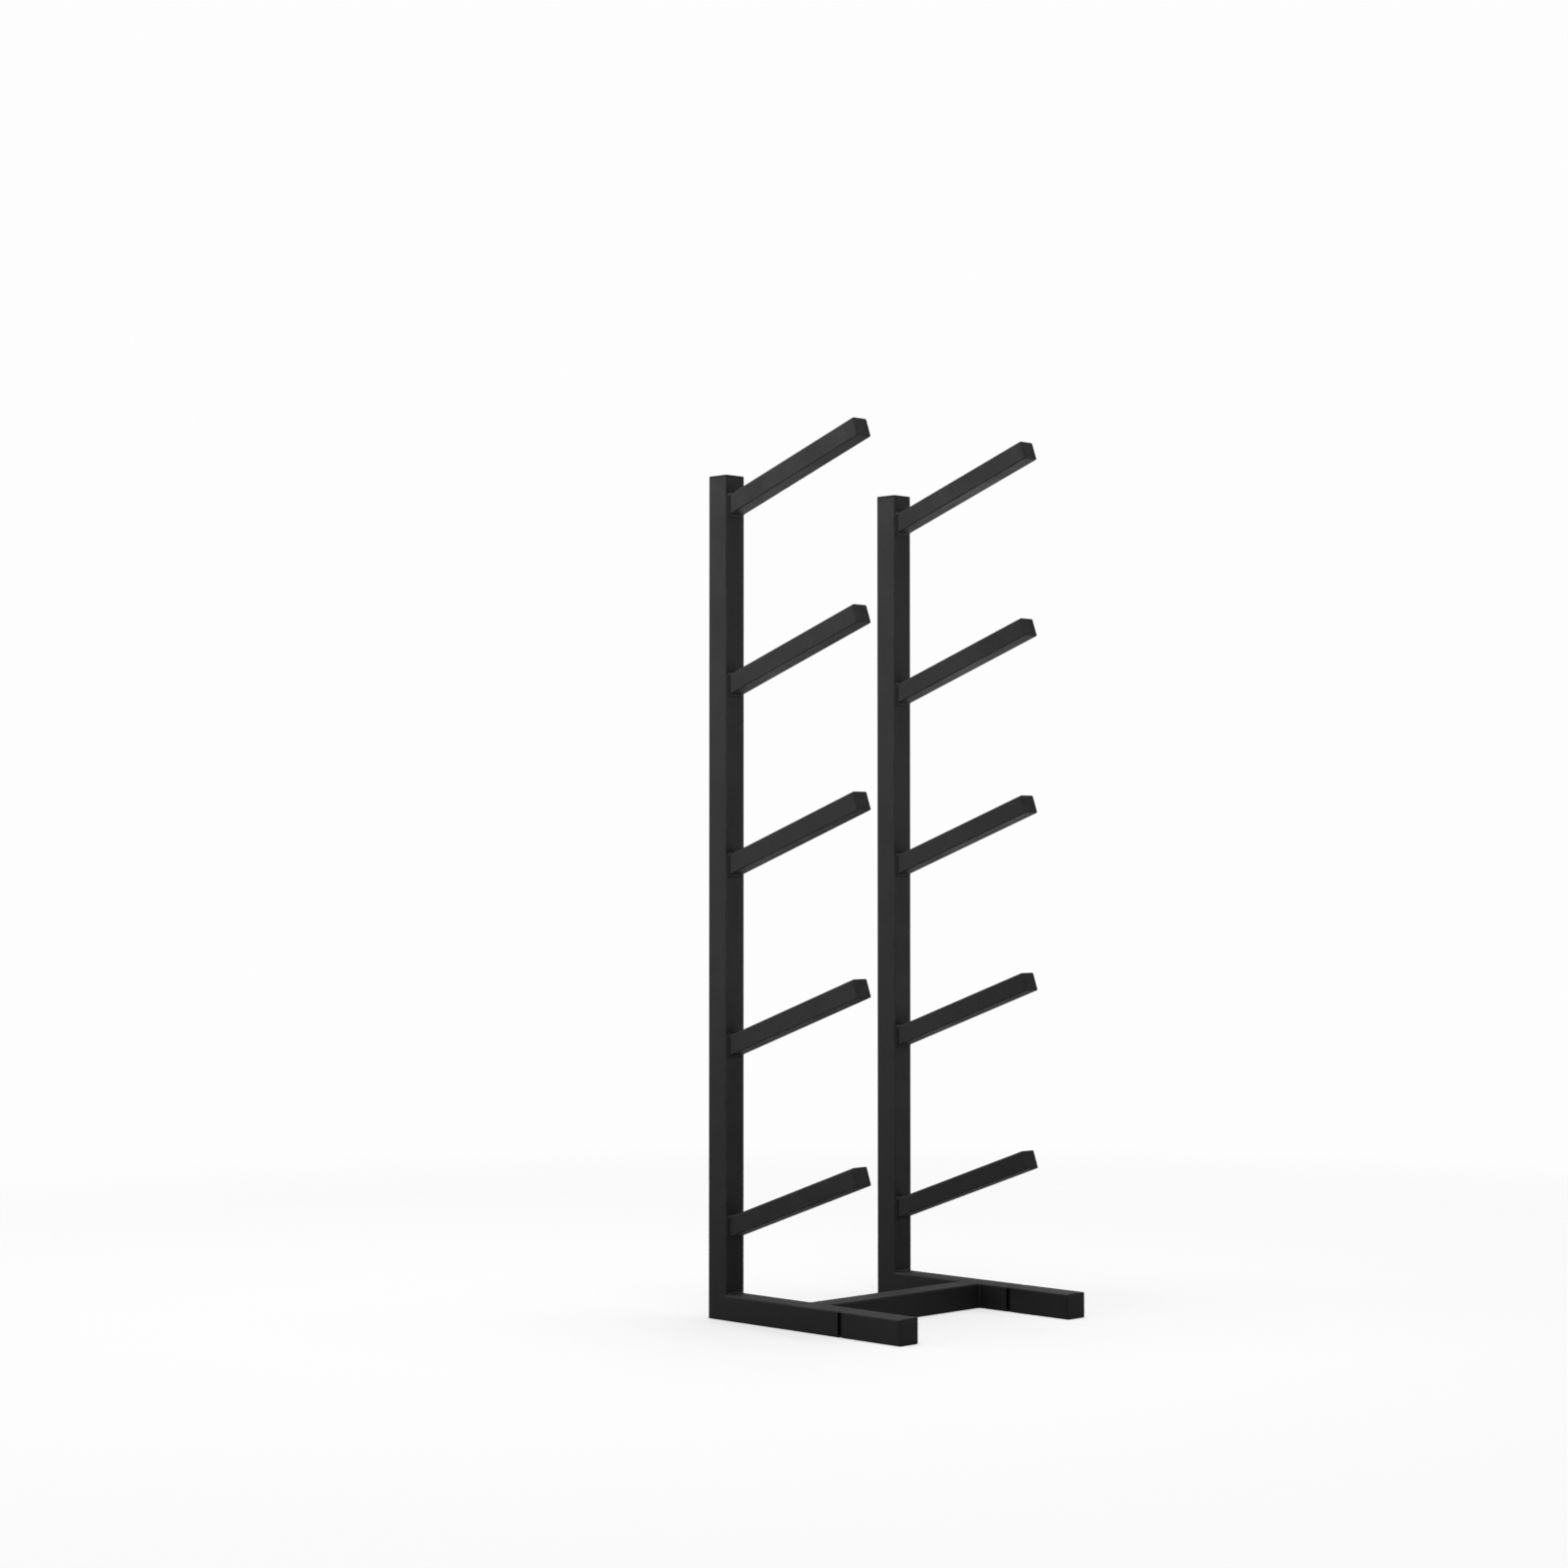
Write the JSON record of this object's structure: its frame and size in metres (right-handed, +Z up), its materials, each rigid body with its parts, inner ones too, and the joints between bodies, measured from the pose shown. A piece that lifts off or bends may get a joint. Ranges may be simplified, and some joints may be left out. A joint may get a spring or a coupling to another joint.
{
  "type": "ski rack",
  "caption": "Free-standing rack for skis and boards: a square-tube frame on two feet joined by a crossbar, with pairs of arms that slope up and forward.",
  "frame": {"origin": "on the floor, under the middle of the feet", "axes": "+Z up, arms and feet point along -Y, +X to the right of someone who faces the arms"},
  "size_m": [0.426, 0.411, 1.3884],
  "materials": {
    "powder_coat": "fine satin black powder coat",
    "cap_plastic": "moulded black plastic",
    "blackened_steel": "blackened screw"
  },
  "bodies": {
    "root": {"upright_left": "powder_coat", "upright_cap_left": "cap_plastic", "arm_left_1": "powder_coat", "arm_left_2": "powder_coat", "arm_left_3": "powder_coat", "arm_left_4": "powder_coat", "arm_left_5": "powder_coat", "arm_cap_left_1": "cap_plastic", "arm_cap_left_2": "cap_plastic", "arm_cap_left_3": "cap_plastic", "arm_cap_left_4": "cap_plastic", "arm_cap_left_5": "cap_plastic", "arm_weld_left_1": "powder_coat", "arm_weld_left_2": "powder_coat", "arm_weld_left_3": "powder_coat", "arm_weld_left_4": "powder_coat", "arm_weld_left_5": "powder_coat", "foot_left": "powder_coat", "foot_extension_left": "powder_coat", "foot_joiner_left": "cap_plastic", "foot_cap_left": "cap_plastic", "foot_screw_left_back": "blackened_steel", "foot_screw_left_front": "blackened_steel", "corner_weld_left": "powder_coat", "crossbar_weld_left": "powder_coat", "upright_right": "powder_coat", "upright_cap_right": "cap_plastic", "arm_right_1": "powder_coat", "arm_right_2": "powder_coat", "arm_right_3": "powder_coat", "arm_right_4": "powder_coat", "arm_right_5": "powder_coat", "arm_cap_right_1": "cap_plastic", "arm_cap_right_2": "cap_plastic", "arm_cap_right_3": "cap_plastic", "arm_cap_right_4": "cap_plastic", "arm_cap_right_5": "cap_plastic", "arm_weld_right_1": "powder_coat", "arm_weld_right_2": "powder_coat", "arm_weld_right_3": "powder_coat", "arm_weld_right_4": "powder_coat", "arm_weld_right_5": "powder_coat", "foot_right": "powder_coat", "foot_extension_right": "powder_coat", "foot_joiner_right": "cap_plastic", "foot_cap_right": "cap_plastic", "foot_screw_right_back": "blackened_steel", "foot_screw_right_front": "blackened_steel", "corner_weld_right": "powder_coat", "crossbar_weld_right": "powder_coat", "crossbar": "powder_coat"}
  },
  "joints": []
}
